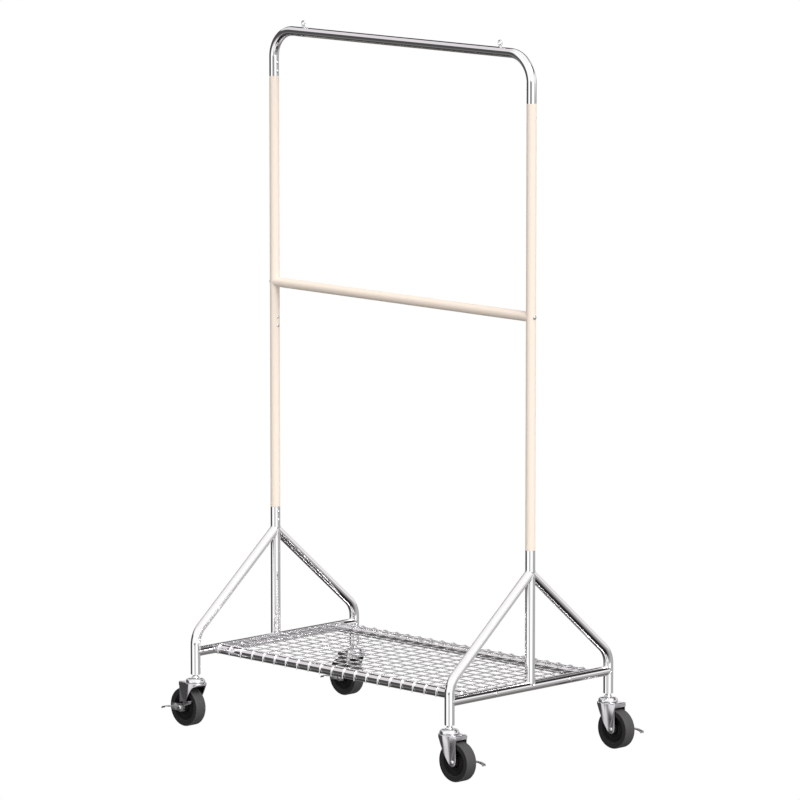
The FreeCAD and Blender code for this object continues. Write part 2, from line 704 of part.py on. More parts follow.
def make_fork(corner, x, y, turn):
    """Stamped fork: a round crown with a short skirt, two legs cut to a sweeping edge, and a lip."""
    name = "fork_%s_" % corner
    wall = "Dims.fork_wall"
    deep = "4 * Dims.crown_radius"
    blank = soften_top(name + "softened", crown_and_legs(name + "blank", "0", "Dims.fork_top"),
                       "Dims.fork_top")
    hollow = crown_and_legs(name + "hollow", wall, "Dims.fork_top - " + wall)

    above = "Dims.fork_top + Dims.fork_wall"
    front = "-Dims.crown_radius - 1"
    rear = "Dims.fork_rear + 1"
    lip_edge = "Dims.fork_top - Dims.fork_lip"
    skirt_edge = "Dims.fork_top - Dims.fork_skirt"
    side_corners = [
        ("Dims.caster_trail - Dims.fork_end_radius * 0.92",
         "Dims.wheel_radius - Dims.fork_end_radius * 0.4"),
        ("0.5 * Dims.crown_radius", "Dims.wheel_radius + 6"),
        ("0.27 * Dims.crown_radius", "Dims.wheel_radius + 20"),
        ("0.02 * Dims.crown_radius", "Dims.wheel_radius + 33.5"),
        ("-0.25 * Dims.crown_radius", "Dims.wheel_radius + 47.5"),
        ("-0.43 * Dims.crown_radius", "Dims.wheel_radius + 55"),
        ("-0.61 * Dims.crown_radius", skirt_edge + " - 2"),
        ("-0.86 * Dims.crown_radius", skirt_edge),
        (front, skirt_edge),
        (front, above),
        (rear, above),
        (rear, lip_edge),
        ("Dims.fork_leg_rear", lip_edge),
        ("Dims.fork_leg_rear", "Dims.wheel_radius + 0.5 * Dims.fork_end_radius"),
        ("Dims.caster_trail + Dims.fork_end_radius", "Dims.wheel_radius"),
    ]
    side_plate = plate(name + "side_plate", side_corners, deep)
    eye = cylinder(name + "eye", "Dims.fork_end_radius", deep, "Dims.caster_trail",
                   "-2 * Dims.crown_radius", "Dims.wheel_radius", ALONG_Y)
    shaped = doc.addObject("Part::MultiCommon", name + "shaped")
    shaped.Shapes = [blank, join(name + "side_shape", [side_plate, eye])]
    wheel_space = box(name + "wheel_space", rear, "2 * (Dims.fork_half_width - %s)" % wall, lip_edge,
                      "0", "-(Dims.fork_half_width - %s)" % wall)
    tools = [
        hollow,
        wheel_space,
        cylinder(name + "king_hole", "Dims.stem_radius + Dims.running_gap", "4 * " + wall,
                 z="Dims.fork_top - 2 * " + wall),
        cylinder(name + "axle_hole", "Dims.axle_radius", deep, "Dims.caster_trail",
                 "-2 * Dims.crown_radius", "Dims.wheel_radius", ALONG_Y),
    ]
    fork = cut(name + "body", shaped, tools)
    place(fork, x, y, "0", turn)
    node(fork, "fork_" + corner)


def mirrored_profile(corners):
    """A half profile drawn for one side of the wheel, closed by its mirror image."""
    mirror = [(radius, "-(%s)" % offset) for radius, offset in reversed(corners)]
    return mirror + corners


def make_wheel(corner, x, y, turn):
    core = [
        ("Dims.sleeve_radius + Dims.running_gap", "Dims.hub_half_width"),
        ("Dims.hub_radius", "Dims.hub_half_width"),
        ("Dims.hub_radius + 2", "Dims.hub_half_width - 9"),
        ("Dims.core_radius - 7", "Dims.hub_half_width - 10"),
        ("Dims.core_radius - 4", "Dims.core_half_width - 1"),
        ("Dims.core_radius - 3", "Dims.core_half_width"),
        ("Dims.core_radius", "Dims.core_half_width"),
    ]
    tyre = [
        ("Dims.core_radius", "Dims.core_half_width"),
        ("Dims.core_radius + 0.8", "Dims.wheel_half_width - 0.8"),
        ("Dims.core_radius + 2", "Dims.wheel_half_width"),
        ("Dims.wheel_radius - 2.4", "Dims.wheel_half_width"),
        ("Dims.wheel_radius - 0.8", "Dims.wheel_half_width - 0.7"),
        ("Dims.wheel_radius", "Dims.wheel_half_width - 2.2"),
    ]
    for name, profile in (("wheel_core", core), ("tyre", tyre)):
        node(turned("%s_%s_body" % (name, corner), mirrored_profile(profile), x, y,
                    "Dims.wheel_radius", turn * ALONG_Y), "%s_%s" % (name, corner))


def make_axle(corner, x, y, turn):
    """Spacer sleeve, and the axle bolt with its nut outside the brake lever."""
    half = "Dims.fork_half_width"
    sleeve = straight_tube("axle_sleeve_%s_body" % corner, "Dims.sleeve_radius", "Dims.axle_radius",
                           "2 * (%s - Dims.fork_wall)" % half, x, y, "Dims.wheel_radius",
                           turn * ALONG_Y)
    offset = "(%s - Dims.fork_wall)" % half
    facing = turn.multVec(FreeCAD.Vector(0, 1, 0)).y
    place(sleeve, x, "%s - %d * %s" % (y, round(facing), offset), "Dims.wheel_radius",
          turn * ALONG_Y)
    node(sleeve, "axle_sleeve_" + corner)

    nut_seat = "(Dims.lever_inner_face + Dims.lever_thickness + Dims.lever_clearance)"
    nut_end = nut_seat + " + Dims.axle_nut_height"
    corners = [
        ("0", "-(%s + Dims.axle_head_height)" % half),
        ("0.6 * Dims.axle_head_radius", "-(%s + Dims.axle_head_height)" % half),
        ("Dims.axle_head_radius", "-(%s + 0.4 * Dims.axle_head_height)" % half),
        ("Dims.axle_head_radius", "-" + half),
        ("Dims.axle_radius", "-" + half),
        ("Dims.axle_radius", nut_seat),
        ("Dims.nut_radius", nut_seat),
        ("Dims.nut_radius", nut_end + " - 1.5"),
        ("Dims.nut_radius - 2", nut_end),
        ("0", nut_end),
    ]
    node(turned("axle_%s_body" % corner, corners, x, y, "Dims.wheel_radius", turn * ALONG_Y),
         "axle_" + corner)


def make_brake_lever(corner, x, y, turn):
    """Side lever on the axle bolt: a pressed plate with a pedal at each end."""
    name = "brake_lever_%s_" % corner
    neck = "0.35 * Dims.wing_reach"
    pad_start = "(Dims.pad_reach / 2)"
    outline = [
        ("-Dims.wing_reach", "Dims.wing_rise - 6.5"),
        ("-" + neck, "0.23 * Dims.wing_rise"),
        ("-9", "-5"),
        ("0", "-Dims.lever_hub_radius + 1"),
        ("9", "-8"),
        (pad_start, "-Dims.pad_half_height + 1"),
        ("Dims.pad_reach - 2", "-Dims.pad_half_height"),
        ("Dims.pad_reach", "-4"),
        ("Dims.pad_reach", "4"),
        ("Dims.pad_reach - 2", "Dims.pad_half_height - 1"),
        (pad_start, "Dims.pad_half_height + 1"),
        ("0", "Dims.lever_hub_radius - 0.5"),
        ("-" + neck + " + 1", "Dims.wing_rise - 10"),
        ("-" + neck + " - 5", "Dims.wing_rise - 8"),
        ("-Dims.wing_reach", "Dims.wing_rise"),
    ]
    middle = "Dims.lever_inner_face + Dims.lever_thickness / 2"
    body = plate(name + "plate", outline, "Dims.lever_thickness", y=middle)
    hub = cylinder(name + "hub", "Dims.lever_hub_radius", "Dims.lever_thickness",
                   y="Dims.lever_inner_face", turn=ALONG_Y)
    boss = cylinder(name + "boss", "Dims.lever_boss_radius",
                    "Dims.lever_inner_face - Dims.fork_half_width - Dims.lever_clearance",
                    y="Dims.fork_half_width + Dims.lever_clearance", turn=ALONG_Y)
    tread = [
        ("Dims.pad_reach - 3", "-1"),
        ("Dims.pad_reach - 3", "1.2"),
        ("Dims.pedal_reach - 16", "0.4"),
        ("Dims.pedal_reach - 2", "-Dims.pedal_drop + 5"),
        ("Dims.pedal_reach", "-Dims.pedal_drop"),
        ("Dims.pedal_reach - 2", "-Dims.pedal_drop"),
        ("Dims.pedal_reach - 3.5", "-Dims.pedal_drop + 3.4"),
        ("Dims.pedal_reach - 16", "-1.6"),
    ]
    pedal = plate(name + "pedal", tread, "Dims.pedal_width",
                  y="Dims.lever_inner_face + Dims.pedal_width / 2")
    flange = [
        ("-Dims.wing_reach - 1.5", "Dims.wing_rise - 3"),
        ("-Dims.wing_reach - 1.5", "Dims.wing_rise + 0.8"),
        ("-Dims.wing_reach", "Dims.wing_rise + 1.6"),
        ("-" + neck + " - 3", "Dims.wing_rise - 5.2"),
        ("-" + neck + " - 3", "Dims.wing_rise - 7.4"),
        ("-Dims.wing_reach + 2", "Dims.wing_rise - 1.2"),
        ("-Dims.wing_reach + 0.5", "Dims.wing_rise - 3"),
    ]
    wing = plate(name + "wing", flange, "Dims.wing_width",
                 y="Dims.lever_inner_face + Dims.wing_width / 2")
    pad = [
        (pad_start + " - 1.5", "-6.5"),
        (pad_start + " + 0.5", "-8"),
        ("Dims.pad_reach - 2", "-9"),
        ("Dims.pad_reach - 2", "8"),
        (pad_start + " + 0.5", "9"),
        (pad_start + " - 1.5", "7.5"),
    ]
    pad_plate = plate(name + "pad", pad, "2 * Dims.lever_thickness",
                      y="Dims.lever_inner_face + Dims.lever_thickness")
    lever = cut(name + "body", join(name + "joined", [body, hub, boss, pedal, wing, pad_plate]),
                [cylinder(name + "bore", "Dims.axle_radius + Dims.running_gap",
                          "2 * Dims.fork_half_width", turn=ALONG_Y)])
    place(lever, x, y, "Dims.wheel_radius", turn)
    node(lever, "brake_lever_" + corner)


def make_casters():
    for corner, (side, end) in CORNERS.items():
        turn = UPRIGHT if side > 0 else HALF_TURN
        x = signed(side, HALF_SPACING)
        y = signed(end, HALF_DEPTH)
        wheel_x = signed(side, HALF_SPACING + " + Dims.caster_trail")
        make_stem(corner, x, y)
        make_fork(corner, x, y, turn)
        make_wheel(corner, wheel_x, y, turn)
        make_axle(corner, wheel_x, y, turn)
        make_brake_lever(corner, wheel_x, y, turn)


# ---------------------------------------------------------------- check and write

def check_document():
    """Stop if any object failed, or if a sub-part has no valid shape."""
    for item in doc.Objects:
        if "Invalid" in item.State or "Error" in item.State:
            raise RuntimeError("%s failed: %s" % (item.Name, item.State))
    for label, item in nodes.items():
        if item.Shape.isNull() or not item.Shape.isValid() or not item.Shape.Solids:
            raise RuntimeError("%s has no valid solid" % label)


def write_parts():
    os.makedirs("parts", exist_ok=True)
    for label, item in nodes.items():
        item.Shape.exportStep("parts/%s.step" % label)


def main():
    make_top_rail()
    make_posts()
    make_spigots()
    make_joint_screws()
    make_crossbar()
    make_eye_bolts()
    for side_name, side in SIDES.items():
        make_base(side_name, side)
    make_shelf_frame()
    make_mesh()
    make_shelf_fixings()
    make_sockets()
    make_swivel_balls()
    make_casters()
    doc.recompute()
    check_document()
    write_parts()
    print("%d nodes, %d solids" % (len(nodes), sum(len(n.Shape.Solids) for n in nodes.values())))


main()
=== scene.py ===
"""Rolling clothes rack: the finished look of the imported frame. Lengths are in metres."""
import json
import math

import bmesh
import bpy
from mathutils import Matrix, Vector


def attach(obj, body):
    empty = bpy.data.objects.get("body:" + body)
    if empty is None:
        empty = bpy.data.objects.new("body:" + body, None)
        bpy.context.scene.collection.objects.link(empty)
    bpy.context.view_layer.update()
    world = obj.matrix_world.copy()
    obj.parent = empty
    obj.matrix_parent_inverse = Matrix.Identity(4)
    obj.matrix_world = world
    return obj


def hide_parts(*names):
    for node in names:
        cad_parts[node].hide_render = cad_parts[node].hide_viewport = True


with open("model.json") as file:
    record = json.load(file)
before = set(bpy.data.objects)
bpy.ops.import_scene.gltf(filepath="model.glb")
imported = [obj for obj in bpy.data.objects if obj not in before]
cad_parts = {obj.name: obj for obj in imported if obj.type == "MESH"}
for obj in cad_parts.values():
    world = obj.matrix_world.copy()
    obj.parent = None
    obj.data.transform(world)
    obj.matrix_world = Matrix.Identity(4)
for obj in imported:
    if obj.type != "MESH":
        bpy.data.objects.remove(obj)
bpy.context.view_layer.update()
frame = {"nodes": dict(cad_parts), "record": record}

# ------------------------------------------------------------------ sizes

TUBE = 0.0125
TUBE_BORE = 0.0112
HALF_WIDTH = 0.4575
HALF_DEPTH = 0.2855
RAIL_BEND = 0.070
KNEE_BEND = 0.060
RAIL_Z = 1.7775
TOP_JOINT = 1.657
MIDDLE_JOINT = 1.049
BOTTOM_JOINT = 0.540
CROSSBAR_Z = 1.126
APEX_Z = 0.4825
KNEE_Z = 0.241
FOOT_Z = 0.1375
SIDE_RAIL_Z = 0.196
SHELF_TUBE_Y = 0.213
STRIP_FACE = HALF_WIDTH - TUBE
STRIP_THICKNESS = 0.003
WIRE = 0.0015
LONG_WIRES = 13
LONG_PITCH = 0.03415
CROSS_WIRES = 22
CROSS_PITCH = 0.04144
LONG_WIRE_RISE = 0.010
LONG_WIRE_Z = SIDE_RAIL_Z + LONG_WIRE_RISE + WIRE
HOOK_DROP = 0.0115
SHELF_BOLT_Y = 0.132
SCREW_OFFSETS = (0.013, 0.035)
EYE_X = 0.349
EYE_Z = RAIL_Z + 0.0225
EYE_RADIUS = 0.0059
EYE_WIRE = 0.0019
EYE_COLLAR = 0.005
SCREW_HEAD = (0.0042, 0.0026)
SCREW_SHANK = (0.0025, 0.012)
BOLT_HEAD = (0.0055, 0.0036)
CROSSBAR_SHANK = (0.003, 0.052)
SHELF_SHANK = (0.003, 0.036)
EYE_COLLAR_HEIGHT = 0.0024
BEAD_RADIUS = 0.0013
STEM_TOP = 0.165
STEM_RADIUS = 0.006
DOME_RADIUS = 0.025
DOME_RIM = 0.1175
DOME_INSIDE = 0.125
RACE_RADIUS = 0.011
RACE_TOP = 0.1142
RACE_FOOT = 0.1106
TRAIL = 0.0285
WHEEL_RADIUS = 0.050
TYRE_HALF = 0.016
CORE_RADIUS = 0.034
CORE_HALF = 0.012
HUB_HALF = 0.0165
AXLE_BORE = 0.0061
WEB_HALF = 0.0066
RIB_HALF = 0.0074
GROOVE_INSIDE = 0.0395
GROOVE_OUTSIDE = 0.0413
GROOVE_DEPTH = 0.0004
EDGE_SOFTENING = 0.0004
WELD_GAP = 0.000002
MOUTH_DEPTH = 0.030
FINE_STEP = math.radians(3)

SIDES = {"left": -1, "right": 1}
ENDS = {"front": -1, "rear": 1}
CORNERS = {
    "%s_%s" % (end_name, side_name): (side, end)
    for end_name, end in ENDS.items()
    for side_name, side in SIDES.items()
}
X_AXIS = Vector((1, 0, 0))
Y_AXIS = Vector((0, 1, 0))
Z_AXIS = Vector((0, 0, 1))


# ------------------------------------------------------------------ materials

def new_tree(owner):
    """The empty node tree of a material or world."""
    owner.use_nodes = True
    owner.node_tree.nodes.clear()
    return owner.node_tree


def link(tree, source, target):
    tree.links.new(source, target)


def calc(tree, operation, *values):
    """A maths node: each value is a number or a socket."""
    made = tree.nodes.new("ShaderNodeMath")
    made.operation = operation
    for socket, value in zip(made.inputs, values):
        if isinstance(value, (int, float)):
            socket.default_value = value
        else:
            link(tree, value, socket)
    return made.outputs[0]


def ramp_up(tree, value, low, high):
    """0 below low, 1 above high and a smooth rise between them."""
    made = tree.nodes.new("ShaderNodeMapRange")
    made.interpolation_type = "SMOOTHSTEP"
    link(tree, value, made.inputs["Value"])
    made.inputs["From Min"].default_value = low
    made.inputs["From Max"].default_value = high
    return made.outputs["Result"]


def between(tree, value, low, high, blur):
    """1 between low and high, with soft ends."""
    rise = ramp_up(tree, value, low - blur, low + blur)
    fall = calc(tree, "SUBTRACT", 1.0, ramp_up(tree, value, high - blur, high + blur))
    return calc(tree, "MULTIPLY", rise, fall)


def noise(tree, scale, detail):
    """Procedural noise in object space."""
    place = tree.nodes.new("ShaderNodeTexCoord")
    made = tree.nodes.new("ShaderNodeTexNoise")
    made.inputs["Scale"].default_value = scale
    made.inputs["Detail"].default_value = detail
    link(tree, place.outputs["Object"], made.inputs["Vector"])
    return made.outputs["Fac"]


def surface(name, colour, metallic, roughness, spread, grain, dent, shade, shine=0.5):
    """A painted, plated or moulded finish whose tone, gloss and relief vary a little.

    spread is how far the roughness varies either way, grain the noise scale, dent the height of
    the relief, and shade the part of the colour that the noise adds or takes away.
    """
    made = bpy.data.materials.new(name)
    tree = new_tree(made)
    output = tree.nodes.new("ShaderNodeOutputMaterial")
    shader = tree.nodes.new("ShaderNodeBsdfPrincipled")
    shader.inputs["Metallic"].default_value = metallic
    shader.inputs["Specular IOR Level"].default_value = shine
    link(tree, shader.outputs[0], output.inputs["Surface"])

    pattern = noise(tree, grain, 4.0)
    tone = tree.nodes.new("ShaderNodeMix")
    tone.data_type = "RGBA"
    darker = [channel * (1 - shade) for channel in colour]
    lighter = [min(1.0, channel * (1 + shade)) for channel in colour]
    tone.inputs["A"].default_value = (*darker, 1)
    tone.inputs["B"].default_value = (*lighter, 1)
    link(tree, pattern, tone.inputs["Factor"])
    link(tree, tone.outputs["Result"], shader.inputs["Base Color"])

    gloss = tree.nodes.new("ShaderNodeMapRange")
    link(tree, noise(tree, grain / 9, 2.0), gloss.inputs["Value"])
    gloss.inputs["To Min"].default_value = max(0.0, roughness - spread)
    gloss.inputs["To Max"].default_value = roughness + spread
    link(tree, gloss.outputs["Result"], shader.inputs["Roughness"])

    relief = tree.nodes.new("ShaderNodeBump")
    relief.inputs["Strength"].default_value = 1.0
    relief.inputs["Distance"].default_value = dent
    link(tree, pattern, relief.inputs["Height"])
    link(tree, relief.outputs["Normal"], shader.inputs["Normal"])
    return made


CHROME = surface("chrome_plate", (0.90, 0.89, 0.90), metallic=1.0, roughness=0.045,
                 spread=0.02, grain=60.0, dent=0.000002, shade=0.01)
CREAM = surface("cream_powder_coat", (0.86, 0.75, 0.65), metallic=0.0, roughness=0.42,
                spread=0.04, grain=900.0, dent=0.00001, shade=0.02)
ZINC = surface("zinc_plate", (0.64, 0.62, 0.65), metallic=1.0, roughness=0.16,
               spread=0.05, grain=420.0, dent=0.00001, shade=0.08)
LEVER_FINISH = surface("dull_zinc", (0.40, 0.39, 0.40), metallic=1.0, roughness=0.30,
                       spread=0.06, grain=420.0, dent=0.00002, shade=0.10)
BRIGHT = surface("bright_steel", (0.84, 0.84, 0.85), metallic=1.0, roughness=0.16,
                 spread=0.04, grain=500.0, dent=0.000005, shade=0.03)
WIRE_FINISH = surface("bright_wire", (0.96, 0.95, 0.96), metallic=1.0, roughness=0.26,
                      spread=0.05, grain=700.0, dent=0.000005, shade=0.03)
TYRE_SIDE = surface("tyre_rubber_side", (0.018, 0.017, 0.018), metallic=0.0, roughness=0.50,
                    spread=0.08, grain=900.0, dent=0.00003, shade=0.15, shine=0.22)
# The tread is lighter than the sides: partly rubbed, dusty wear and partly painted light falling from
# above.
TYRE_TREAD_WEAR_AND_LIGHT = surface("tyre_tread_wear_and_painted_light", (0.056, 0.054, 0.056), metallic=0.0, roughness=0.62,
                     spread=0.08, grain=1200.0, dent=0.00006, shade=0.2)
BLACK = surface("black_moulding", (0.006, 0.006, 0.006), metallic=0.0, roughness=0.42,
                spread=0.06, grain=700.0, dent=0.00002, shade=0.1, shine=0.2)

FINISHES = {
    "chrome": CHROME,
    "cream_paint": CREAM,
    "zinc": ZINC,
    "bright_steel": BRIGHT,
    "bright_wire": WIRE_FINISH,
    "tyre_rubber": TYRE_SIDE,
    "black_plastic": BLACK,
}


# ------------------------------------------------------------------ mesh helpers

def build(name, parts, slot, body, replaced=(), finishes=None, sharp=38):
    """One piece from (vertices, faces) or (vertices, faces, finish index) parts."""
    vertices, faces, indices = [], [], []
    for part in parts:
        start = len(vertices)
        vertices.extend(part[0])
        faces.extend([tuple(i + start for i in face) for face in part[1]])
        indices.extend([part[2] if len(part) > 2 else 0] * len(part[1]))
    mesh = bpy.data.meshes.new(name)
    mesh.from_pydata([tuple(v) for v in vertices], [], faces)
    for face, index in zip(mesh.polygons, indices):
        face.material_index = index
    return finish_piece(name, mesh, slot, body, replaced, finishes, sharp)


def weld(worker, gap):
    """Join doubled vertices and drop the faces without area that this leaves."""
    bmesh.ops.remove_doubles(worker, verts=worker.verts, dist=gap)
    bmesh.ops.dissolve_degenerate(worker, edges=worker.edges, dist=gap)


def finish_piece(name, mesh, slot, body, replaced=(), finishes=None, sharp=38):
    """Clean and shade a mesh, give it its finish and put it on its CAD body."""
    mesh.validate()
    cleaner = bmesh.new()
    cleaner.from_mesh(mesh)
    weld(cleaner, WELD_GAP)
    bmesh.ops.recalc_face_normals(cleaner, faces=cleaner.faces)
    cleaner.to_mesh(mesh)
    cleaner.free()
    if mesh.materials:
        mesh.materials.clear()
    for finish in finishes or [FINISHES[slot]]:
        mesh.materials.append(finish)
    mesh.shade_smooth()
    mesh.set_sharp_from_angle(angle=math.radians(sharp))
    piece = bpy.data.objects.new(name, mesh)
    bpy.context.collection.objects.link(piece)
    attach(piece, body)
    if replaced:
        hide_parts(*replaced)
    return piece


def moved(part, matrix):
    """The same part, transformed."""
    return ([matrix @ Vector(v) for v in part[0]],) + tuple(part[1:])


def rounded_path(corners, radius, step=math.radians(5)):
    """A polyline through corners with every inner corner turned into an arc."""
    points = [Vector(corners[0])]
    for before, corner, after in zip(corners, corners[1:], corners[2:]):
        corner = Vector(corner)
        back = (Vector(before) - corner).normalized()
        ahead = (Vector(after) - corner).normalized()
        turn = math.pi - back.angle(ahead)
        if turn < 1e-4:
            points.append(corner)
            continue
        setback = radius * math.tan(turn / 2)
        bisector = (back + ahead).normalized()
        centre = corner + bisector * (radius / math.cos(turn / 2))
        first = corner + back * setback - centre
        axis = first.cross(corner + ahead * setback - centre).normalized()
        count = max(2, math.ceil(turn / step))
        for i in range(count + 1):
            points.append(centre + Matrix.Rotation(turn * i / count, 3, axis) @ first)
    points.append(Vector(corners[-1]))
    return points


def rings_along(points, radius, sides, closed=False):
    """Circles of vertices along a path, without twist."""
    count = len(points)
    tangents = []
    for i in range(count):
        before = points[(i - 1) % count] if closed or i else points[0]
        after = points[(i + 1) % count] if closed or i < count - 1 else points[-1]
        tangents.append((after - before).normalized())
    start = X_AXIS if abs(tangents[0].x) < 0.7 else Y_AXIS
    across = (start - tangents[0] * start.dot(tangents[0])).normalized()
    rings = []
    for i, tangent in enumerate(tangents):
        if i:
            across = (across - tangent * across.dot(tangent)).normalized()
        up = tangent.cross(across)
        rings.append([points[i] + (across * math.cos(a) + up * math.sin(a)) * radius
                      for a in (2 * math.pi * k / sides for k in range(sides))])
    return rings, tangents


def skin(rings, closed=False):
    """Vertices and side faces over a row of rings."""
    sides = len(rings[0])
    vertices = [v for ring in rings for v in ring]
    faces = []
    for i in range(len(rings) if closed else len(rings) - 1):
        j = (i + 1) % len(rings)
        for k in range(sides):
            n = (k + 1) % sides
            faces.append((i * sides + k, i * sides + n, j * sides + n, j * sides + k))
    return vertices, faces


def trimmed(ring, direction, axis_point, axis, radius):
    """Slide each vertex along direction until it meets a cylinder about an axis."""
    slope = direction - axis * direction.dot(axis)
    result = []
    for vertex in ring:
        offset = vertex - axis_point
        offset = offset - axis * offset.dot(axis)
        a = slope.dot(slope)
        b = 2 * offset.dot(slope)
        c = offset.dot(offset) - radius * radius
        root = math.sqrt(max(0.0, b * b - 4 * a * c))
        result.append(vertex + direction * ((-b - root) / (2 * a)))
    return result


def shrunk(ring, centre, radius):
    """The ring drawn in to a smaller radius about its centre."""
    return [centre + (v - centre).normalized() * radius for v in ring]


def tube(points, start="plain", end="plain", radius=TUBE, sides=48):
    """A round tube; each end is plain (softened and closed), open, or a cylinder to fit against."""
    points = [Vector(p) for p in points]
    rings, tangents = rings_along(points, radius, sides)
    fits = []
    for at_start, which, outward in ((True, start, -tangents[0]), (False, end, tangents[-1])):
        edge = rings[0] if at_start else rings[-1]
        tip = points[0] if at_start else points[-1]
        if isinstance(which, tuple):
            new = [trimmed(edge, outward, *which)]
            fits.append(new[0])
        else:
            lip = [v - outward * EDGE_SOFTENING for v in edge]
            rim = shrunk(edge, tip, radius - EDGE_SOFTENING)
            new = [lip, rim]
            if which == "open":
                mouth = shrunk(edge, tip, TUBE_BORE)
                deep = [v - outward * MOUTH_DEPTH for v in mouth]
                new += [mouth, deep, [tip - outward * MOUTH_DEPTH] * sides]
            else:
                new += [[tip] * sides]
        if at_start:
            rings = list(reversed(new)) + rings[1:]
        else:
            rings = rings[:-1] + new
    part = skin(rings)
    return (part[0], part[1]), fits


def bar(points, radius, sides=12, closed=False):
    """A solid round bar or wire with flat ends."""
    points = [Vector(p) for p in points]
    rings, tangents = rings_along(points, radius, sides, closed)
    if not closed:
        rings = [[points[0]] * sides] + rings + [[points[-1]] * sides]
    return skin(rings, closed)


def bead(loop):
    """A thin weld bead along a closed loop of points."""
    return bar(loop[::2], BEAD_RADIUS, 8, closed=True)


def lathe(profile, sides=96, index=0):
    """A body of revolution about Z from (radius, height) points."""
    rings = []
    for radius, height in profile:
        rings.append([Vector((radius * math.cos(a), radius * math.sin(a), height))
                      for a in (2 * math.pi * k / sides for k in range(sides))])
    vertices, faces = skin(rings)
    return vertices, faces, index


def softened(profile, radius):
    """A (radius, height) profile with its inner corners rounded."""
    points = [Vector((r, 0, h)) for r, h in profile]
    result = [points[0]]
    for before, corner, after in zip(points, points[1:], points[2:]):
        back, ahead = before - corner, after - corner
        turn = math.pi - back.angle(ahead)
        limit = 0.45 * min(back.length, ahead.length)
        reach = min(radius * math.tan(turn / 2), limit)
        if turn < math.radians(8) or reach < 1e-6:
            result.append(corner)
            continue
        real = reach / math.tan(turn / 2)
        arc = rounded_path([corner + back.normalized() * reach * 2, corner,
                            corner + ahead.normalized() * reach * 2], real, math.radians(15))
        result.extend(arc[1:-1])
    result.append(points[-1])
    return [(p.x, p.z) for p in result]


def turned_to(axis, centre):
    """Matrix that stands the local Z axis along axis, at centre."""
    return Matrix.Translation(Vector(centre)) @ axis.to_track_quat("Z", "Y").to_matrix().to_4x4()


def softened_copy(name, node, width, slot, body, finishes=None):
    """A CAD node's own shape with its hard edges rounded over by width."""
    mesh = frame["nodes"][node].data.copy()
    worker = bmesh.new()
    worker.from_mesh(mesh)
    bmesh.ops.remove_doubles(worker, verts=worker.verts, dist=1e-6)
    bmesh.ops.dissolve_limit(worker, angle_limit=math.radians(0.5), verts=worker.verts,
                             edges=worker.edges, delimit={"NORMAL"})
    hard = [e for e in worker.edges
            if len(e.link_faces) == 2 and e.calc_face_angle(0) > math.radians(28)]
    bmesh.ops.bevel(worker, geom=hard, offset=width, segments=2, profile=0.5,
                    affect="EDGES", clamp_overlap=True)
    worker.to_mesh(mesh)
    worker.free()
    return finish_piece(name, mesh, slot, body, [node], finishes, sharp=32)


# ------------------------------------------------------------------ chrome rail, posts and crossbar

def make_rail_and_posts():
    path = rounded_path([(-HALF_WIDTH, 0, TOP_JOINT), (-HALF_WIDTH, 0, RAIL_Z),
                         (HALF_WIDTH, 0, RAIL_Z), (HALF_WIDTH, 0, TOP_JOINT)], RAIL_BEND, FINE_STEP)
    build("hang_rail", [tube(path)[0]], "chrome", "rack", ["top_rail"])
    for side_name, side in SIDES.items():
        x = side * HALF_WIDTH
        for level, low, high in (("upper", MIDDLE_JOINT, TOP_JOINT),
                                 ("lower", BOTTOM_JOINT, MIDDLE_JOINT)):
            node = "%s_post_%s" % (level, side_name)
            build("painted_" + node, [tube([(x, 0, low), (x, 0, high)])[0]],
                  "cream_paint", "rack", [node])
    ends = [(Vector((side * HALF_WIDTH, 0, 0)), Z_AXIS, TUBE) for side in (-1, 1)]
    cross, _ = tube([(-STRIP_FACE + TUBE, 0, CROSSBAR_Z), (STRIP_FACE - TUBE, 0, CROSSBAR_Z)],
                    ends[0], ends[1])
    build("painted_crossbar", [cross], "cream_paint", "rack", ["crossbar"])


# ------------------------------------------------------------------ base frames

def make_base_frames():
    for side_name, side in SIDES.items():
        x = side * HALF_WIDTH
        post_axis = (Vector((x, 0, 0)), Z_AXIS, TUBE)
        rail_axis = (Vector((x, 0, SIDE_RAIL_Z)), Y_AXIS, TUBE)
        beads = []
        post, fits = tube([(x, 0, BOTTOM_JOINT), (x, 0, SIDE_RAIL_Z + 2 * TUBE)], "plain", rail_axis)
        beads += [bead(loop) for loop in fits]
        build("chrome_base_post_" + side_name, [post], "chrome", "rack", ["base_post_" + side_name])
        for end_name, end in ENDS.items():
            y = end * HALF_DEPTH
            apex = Vector((x, 0, APEX_Z))
            knee = Vector((x, y, KNEE_Z))
            short = apex + (knee - apex).normalized() * 3 * TUBE
            path = rounded_path([(x, y, FOOT_Z), knee, short], KNEE_BEND, FINE_STEP)
            leg, fits = tube(path, "open", post_axis)
            beads += [bead(loop) for loop in fits]
            node = "leg_%s_%s" % (end_name, side_name)
            build("chrome_" + node, [leg], "chrome", "rack", [node])
        leg_axes = [(Vector((x, end * HALF_DEPTH, 0)), Z_AXIS, TUBE) for end in (-1, 1)]
        reach = HALF_DEPTH - 2 * TUBE
        rail, fits = tube([(x, -reach, SIDE_RAIL_Z), (x, reach, SIDE_RAIL_Z)],
                          leg_axes[0], leg_axes[1])
        beads += [bead(loop) for loop in fits]
        build("chrome_side_rail_" + side_name, [rail], "chrome", "rack", ["side_rail_" + side_name])
        build("weld_beads_" + side_name, beads, "chrome", "rack")


# ------------------------------------------------------------------ shelf

